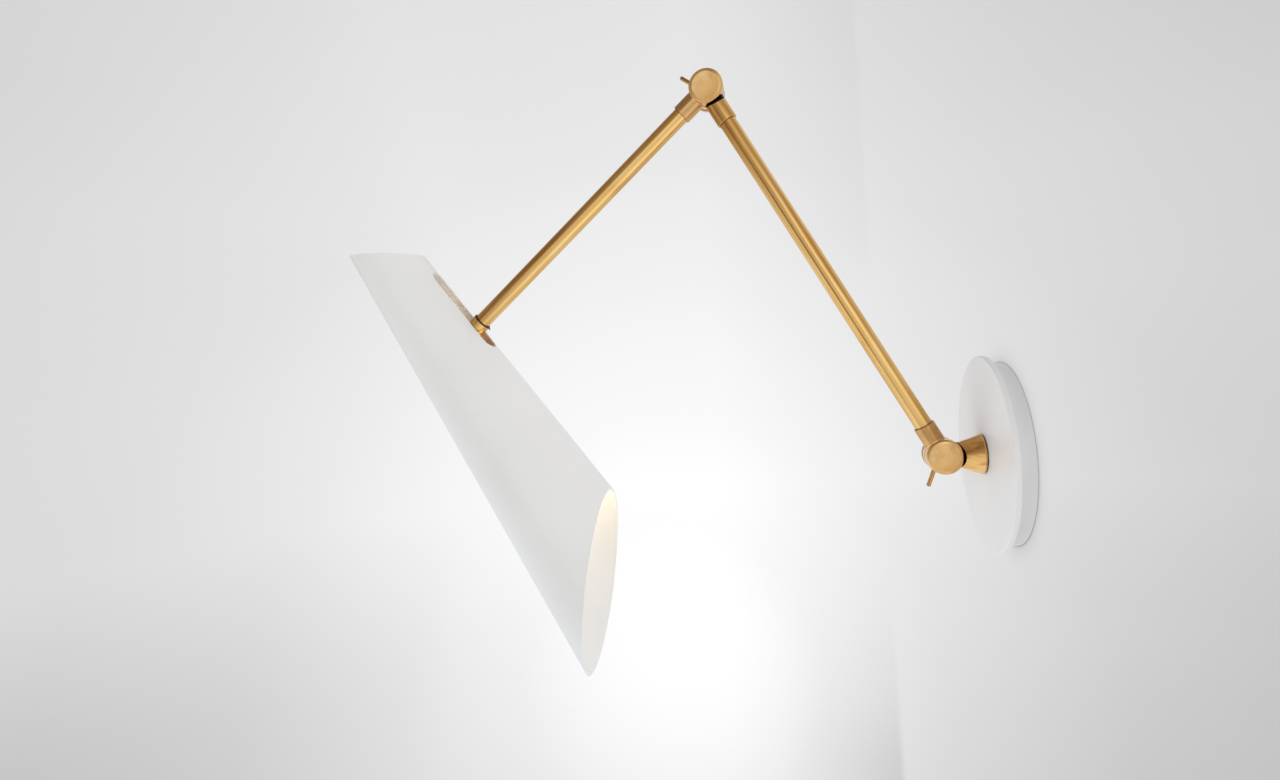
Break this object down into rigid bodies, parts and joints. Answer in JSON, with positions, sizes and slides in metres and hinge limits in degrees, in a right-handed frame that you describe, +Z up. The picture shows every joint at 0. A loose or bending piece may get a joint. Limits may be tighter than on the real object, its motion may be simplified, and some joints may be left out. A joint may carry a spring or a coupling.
{
  "type": "swing arm wall sconce",
  "caption": "Wall lamp with a round canopy, two brass tube arms on clamp knuckles and an obliquely cut conical white shade that tilts on its stem.",
  "frame": {"origin": "centre of the canopy's back edge, on the wall", "axes": "+Y into the wall, the lamp reaches towards -Y; +Z up; the arms lie in the plane x = 0 and the knuckle axes are parallel to X"},
  "size_m": [0.133, 0.4744, 0.4454],
  "materials": {
    "painted_white": "smooth satin powder coat",
    "antique_brass": "hand-rubbed antique, satin",
    "zinc_steel": "zinc plated",
    "green_screw": "green chromate",
    "nylon": "natural nylon",
    "black_fibre": "matt",
    "phenolic": "moulded insulator",
    "porcelain": "glazed porcelain",
    "cable_sheath": "matt sheath",
    "lead_white": "insulated wire",
    "shell_brass": "bright pressed",
    "nickel": "nickel plated",
    "frosted_glass": "inside frosted"
  },
  "bodies": {
    "wall_base": {"canopy": "painted_white", "mounting_bar": "zinc_steel", "canopy_screws": "zinc_steel", "ground_screw": "green_screw", "swivel_bushing": "nylon"},
    "stem": {"stem_cone": "antique_brass", "swivel_shaft": "zinc_steel", "shaft_nut": "zinc_steel", "shaft_washer": "zinc_steel", "stem_washer": "nylon", "stem_cable": "cable_sheath"},
    "lower_lever": {"lower_knob": "antique_brass", "lower_lever_rod": "antique_brass", "lower_knob_washer": "zinc_steel"},
    "lower_arm": {"lower_knuckle_front": "antique_brass", "lower_tube": "antique_brass", "elbow_knuckle_back": "antique_brass", "lower_stud": "zinc_steel", "lower_friction_ring": "black_fibre", "lower_cable": "cable_sheath"},
    "elbow_lever": {"elbow_knob": "antique_brass", "elbow_lever_rod": "antique_brass", "elbow_knob_washer": "zinc_steel"},
    "upper_arm": {"elbow_knuckle_front": "antique_brass", "upper_tube": "antique_brass", "elbow_stud": "zinc_steel", "elbow_friction_ring": "black_fibre", "upper_cable": "cable_sheath", "arm_end_pin": "zinc_steel", "end_washer": "black_fibre"},
    "head": {"swivel_collar": "antique_brass", "tilt_eye": "antique_brass"},
    "shade": {"shade_shell": "painted_white", "shade_fitter": "painted_white", "yoke": "zinc_steel", "tilt_screw": "zinc_steel", "tilt_nut": "zinc_steel", "tilt_washers": "black_fibre", "nipple": "zinc_steel", "nipple_nuts": "zinc_steel", "socket_cap": "antique_brass", "socket_body": "porcelain", "screw_shell": "shell_brass", "centre_contact": "shell_brass", "shade_ring": "porcelain", "socket_leads": "lead_white", "bulb_cap": "nickel", "bulb_insulator": "phenolic", "bulb_glass": "frosted_glass"}
  },
  "joints": [
    {"name": "stem_swivel", "type": "hinge", "parent": "wall_base", "child": "stem", "pos_m": [0, -0.01, 0], "axis": [0, 1, 0], "range_deg": [-170, 170]},
    {"name": "lower_knuckle", "type": "hinge", "parent": "stem", "child": "lower_arm", "pos_m": [0, -0.039, 0], "axis": [1, 0, 0], "range_deg": [-32, 147]},
    {"name": "lower_clamp", "type": "hinge", "parent": "stem", "child": "lower_lever", "pos_m": [-0.011, -0.039, 0], "axis": [-1, 0, 0], "range_deg": [0, 90]},
    {"name": "elbow", "type": "hinge", "parent": "lower_arm", "child": "upper_arm", "pos_m": [0, -0.18266, 0.26905], "axis": [1, 0, 0], "range_deg": [-190, 10]},
    {"name": "elbow_clamp", "type": "hinge", "parent": "lower_arm", "child": "elbow_lever", "pos_m": [-0.011, -0.18266, 0.26905], "axis": [-1, 0, 0], "range_deg": [0, 90]},
    {"name": "head_swivel", "type": "hinge", "parent": "upper_arm", "child": "head", "pos_m": [0, -0.37022, 0.11932], "axis": [0, -0.7815, -0.6239], "range_deg": [-165, 165]},
    {"name": "shade_tilt", "type": "hinge", "parent": "head", "child": "shade", "pos_m": [0, -0.39734, 0.09767], "axis": [1, 0, 0], "range_deg": [-45, 18]}
  ]
}
